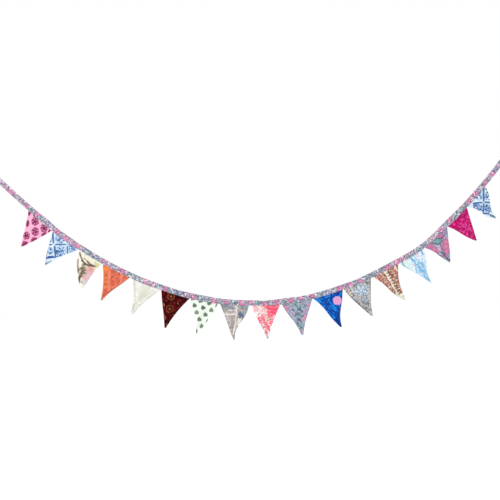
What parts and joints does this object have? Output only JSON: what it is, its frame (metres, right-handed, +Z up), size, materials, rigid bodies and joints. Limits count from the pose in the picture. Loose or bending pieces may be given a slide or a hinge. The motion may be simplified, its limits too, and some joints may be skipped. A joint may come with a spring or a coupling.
{
  "type": "fabric bunting",
  "caption": "String of printed cotton pennants stitched into a folded floral binding strip, hanging in a bow between its two held ends.",
  "frame": {"origin": "middle of the binding's left cut end, where the bunting is held", "axes": "+X to the right along the bow, +Z up, front faces towards -Y"},
  "size_m": [2.0596, 0.0203, 0.7393],
  "materials": {
    "binding_floral_cotton": "blue-grey cotton print with pink flowers and teal leaves",
    "pink_petal_cotton": "light pink cotton print with dark magenta petal clusters",
    "blue_tile_cotton": "pale blue cotton print with blue crossing lines and dots",
    "cream_blossom_cotton": "cream cotton print with brown branches and pink blossom",
    "coral_cotton": "mottled coral red cotton print",
    "ivory_leaf_cotton": "ivory cotton print with faint grey-green leaves",
    "maroon_ring_cotton": "dark maroon cotton print with tan rings",
    "white_heart_cotton": "white cotton print with grey-green hearts",
    "grey_lattice_cotton": "warm grey cotton print with off-white crossing lines",
    "coral_rose_cotton": "white cotton print with coral roses",
    "royal_paisley_cotton": "royal blue mottled paisley cotton print",
    "grey_flower_cotton": "light grey cotton print with light blue flowers",
    "red_ornament_cotton": "cream cotton print with red ornament in bands",
    "sky_frond_cotton": "white cotton print with sky blue fronds",
    "magenta_scroll_cotton": "magenta tone on tone scroll cotton print"
  },
  "bodies": {
    "root": {"binding": "binding_floral_cotton", "flag_01": "pink_petal_cotton", "flag_02": "blue_tile_cotton", "flag_03": "cream_blossom_cotton", "flag_04": "coral_cotton", "flag_05": "ivory_leaf_cotton", "flag_06": "maroon_ring_cotton", "flag_07": "white_heart_cotton", "flag_08": "grey_lattice_cotton", "flag_09": "coral_rose_cotton", "flag_10": "binding_floral_cotton", "flag_11": "royal_paisley_cotton", "flag_12": "grey_flower_cotton", "flag_13": "red_ornament_cotton", "flag_14": "sky_frond_cotton", "flag_15": "binding_floral_cotton", "flag_16": "magenta_scroll_cotton", "flag_17": "blue_tile_cotton"}
  },
  "joints": []
}
